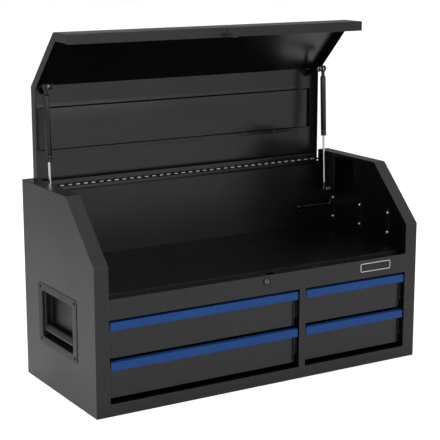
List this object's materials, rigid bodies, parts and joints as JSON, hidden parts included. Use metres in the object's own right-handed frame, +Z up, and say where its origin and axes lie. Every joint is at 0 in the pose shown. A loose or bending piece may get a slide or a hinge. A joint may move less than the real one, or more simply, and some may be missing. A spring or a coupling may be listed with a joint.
{
  "type": "tool chest",
  "caption": "Wide charcoal machinist tool chest: hinged lid on gas struts over an open till, ball-bearing drawers with full-width blue pulls, side handles and a cam lock.",
  "frame": {"origin": "centre of the cabinet's base, on the surface that it stands on", "axes": "+X to the right seen from the front, +Y to the back, +Z up"},
  "size_m": [0.9204, 0.414, 0.8532],
  "materials": {
    "cabinet_charcoal": "semi-gloss powder coat with a fine texture",
    "lid_charcoal": "semi-gloss powder coat with a fine texture",
    "drawer_charcoal": "semi-gloss powder coat with a fine texture",
    "pull_blue": "satin blue coating",
    "slide_zinc": "bright zinc plate",
    "hinge_steel": "bright rolled steel",
    "bracket_steel": "dark coating",
    "strut_body": "black gloss paint",
    "bright_steel": "polished zinc plate",
    "lock_chrome": "polished chrome plate",
    "handle_black": "matt black"
  },
  "bodies": {
    "cabinet": {"left_side_panel": "cabinet_charcoal", "right_side_panel": "cabinet_charcoal", "back_panel": "cabinet_charcoal", "bottom_panel": "cabinet_charcoal", "till_floor": "cabinet_charcoal", "front_top_rail": "cabinet_charcoal", "front_bottom_rail": "cabinet_charcoal", "drawer_partition": "cabinet_charcoal", "slide_carriers": "cabinet_charcoal", "slide_cabinet_members": "slide_zinc", "hinge_cabinet_leaf": "hinge_steel", "hinge_pin": "hinge_steel", "lock_housing": "lock_chrome", "lock_nut": "lock_chrome", "handle_rivets": "bright_steel", "wall_straps": "bracket_steel", "strap_screws": "bright_steel", "corner_tube": "bright_steel", "wall_flange": "bracket_steel", "tube_clip": "bracket_steel", "strut_brackets": "bracket_steel", "lower_ball_studs": "bright_steel", "left_handle_pan": "handle_black", "right_handle_pan": "handle_black"},
    "lid": {"lid_shell": "lid_charcoal", "lid_stiffener": "lid_charcoal", "hinge_lid_leaf": "hinge_steel", "lid_striker": "bracket_steel", "left_lid_bracket": "bracket_steel", "right_lid_bracket": "bracket_steel"},
    "left_strut_lower": {"left_lower_socket": "bright_steel", "left_strut_rod": "bright_steel"},
    "left_strut_upper": {"left_strut_cylinder": "strut_body", "left_upper_socket": "bright_steel", "left_upper_ball_stud": "bright_steel"},
    "right_strut_lower": {"right_lower_socket": "bright_steel", "right_strut_rod": "bright_steel"},
    "right_strut_upper": {"right_strut_cylinder": "strut_body", "right_upper_socket": "bright_steel", "right_upper_ball_stud": "bright_steel"},
    "upper_wide_drawer": {"upper_wide_drawer_tray": "drawer_charcoal", "upper_wide_drawer_pull": "pull_blue", "upper_wide_drawer_members": "slide_zinc"},
    "upper_wide_middle_slides": {"upper_wide_middle_members": "slide_zinc"},
    "lower_wide_drawer": {"lower_wide_drawer_tray": "drawer_charcoal", "lower_wide_drawer_pull": "pull_blue", "lower_wide_drawer_members": "slide_zinc"},
    "lower_wide_middle_slides": {"lower_wide_middle_members": "slide_zinc"},
    "upper_narrow_drawer": {"upper_narrow_drawer_tray": "drawer_charcoal", "upper_narrow_drawer_pull": "pull_blue", "upper_narrow_drawer_members": "slide_zinc"},
    "upper_narrow_middle_slides": {"upper_narrow_middle_members": "slide_zinc"},
    "lower_narrow_drawer": {"lower_narrow_drawer_tray": "drawer_charcoal", "lower_narrow_drawer_pull": "pull_blue", "lower_narrow_drawer_members": "slide_zinc"},
    "lower_narrow_middle_slides": {"lower_narrow_middle_members": "slide_zinc"},
    "lock_barrel": {"lock_plug": "lock_chrome", "lock_cam": "lock_chrome"},
    "left_grip": {"left_handle_grip": "handle_black"},
    "right_grip": {"right_handle_grip": "handle_black"}
  },
  "joints": [
    {"name": "lid_hinge", "type": "hinge", "parent": "cabinet", "child": "lid", "pos_m": [0, 0.1906, 0.467], "axis": [1, 0, 0], "range_deg": [0, 90]},
    {"name": "left_strut_swing", "type": "hinge", "parent": "cabinet", "child": "left_strut_lower", "pos_m": [-0.406, 0.141, 0.39], "axis": [1, 0, 0], "range_deg": [0, 81.08]},
    {"name": "left_strut_stroke", "type": "slide", "parent": "left_strut_lower", "child": "left_strut_upper", "axis": [0, 0.0455, 0.999], "range_m": [-0.12305, 0]},
    {"name": "right_strut_swing", "type": "hinge", "parent": "cabinet", "child": "right_strut_lower", "pos_m": [0.406, 0.141, 0.39], "axis": [1, 0, 0], "range_deg": [0, 81.08]},
    {"name": "right_strut_stroke", "type": "slide", "parent": "right_strut_lower", "child": "right_strut_upper", "axis": [0, 0.0455, 0.999], "range_m": [-0.12305, 0]},
    {"name": "upper_wide_drawer_slide", "type": "slide", "parent": "cabinet", "child": "upper_wide_drawer", "axis": [0, -1, 0], "range_m": [0, 0.34]},
    {"name": "upper_wide_middle_slide", "type": "slide", "parent": "cabinet", "child": "upper_wide_middle_slides", "axis": [0, -1, 0], "range_m": [0, 0.17]},
    {"name": "lower_wide_drawer_slide", "type": "slide", "parent": "cabinet", "child": "lower_wide_drawer", "axis": [0, -1, 0], "range_m": [0, 0.34]},
    {"name": "lower_wide_middle_slide", "type": "slide", "parent": "cabinet", "child": "lower_wide_middle_slides", "axis": [0, -1, 0], "range_m": [0, 0.17]},
    {"name": "upper_narrow_drawer_slide", "type": "slide", "parent": "cabinet", "child": "upper_narrow_drawer", "axis": [0, -1, 0], "range_m": [0, 0.34]},
    {"name": "upper_narrow_middle_slide", "type": "slide", "parent": "cabinet", "child": "upper_narrow_middle_slides", "axis": [0, -1, 0], "range_m": [0, 0.17]},
    {"name": "lower_narrow_drawer_slide", "type": "slide", "parent": "cabinet", "child": "lower_narrow_drawer", "axis": [0, -1, 0], "range_m": [0, 0.34]},
    {"name": "lower_narrow_middle_slide", "type": "slide", "parent": "cabinet", "child": "lower_narrow_middle_slides", "axis": [0, -1, 0], "range_m": [0, 0.17]},
    {"name": "lock_turn", "type": "hinge", "parent": "cabinet", "child": "lock_barrel", "pos_m": [0, -0.1906, 0.261], "axis": [0, 1, 0], "range_deg": [0, 90]},
    {"name": "left_grip_swing", "type": "hinge", "parent": "cabinet", "child": "left_grip", "pos_m": [-0.4497, 0.0085, 0.229], "axis": [0, 1, 0], "range_deg": [0, 90]},
    {"name": "right_grip_swing", "type": "hinge", "parent": "cabinet", "child": "right_grip", "pos_m": [0.4497, 0.0085, 0.229], "axis": [0, -1, 0], "range_deg": [0, 90]}
  ],
  "couplings": [
    {"joint": "left_strut_swing", "follows": "lid_hinge", "ratio": 0.89754},
    {"joint": "left_strut_stroke", "follows": "lid_hinge", "m_per_rad": -0.078017},
    {"joint": "right_strut_swing", "follows": "lid_hinge", "ratio": 0.89754},
    {"joint": "right_strut_stroke", "follows": "lid_hinge", "m_per_rad": -0.078017},
    {"joint": "upper_wide_middle_slide", "follows": "upper_wide_drawer_slide", "ratio": 0.5},
    {"joint": "lower_wide_middle_slide", "follows": "lower_wide_drawer_slide", "ratio": 0.5},
    {"joint": "upper_narrow_middle_slide", "follows": "upper_narrow_drawer_slide", "ratio": 0.5},
    {"joint": "lower_narrow_middle_slide", "follows": "lower_narrow_drawer_slide", "ratio": 0.5}
  ]
}
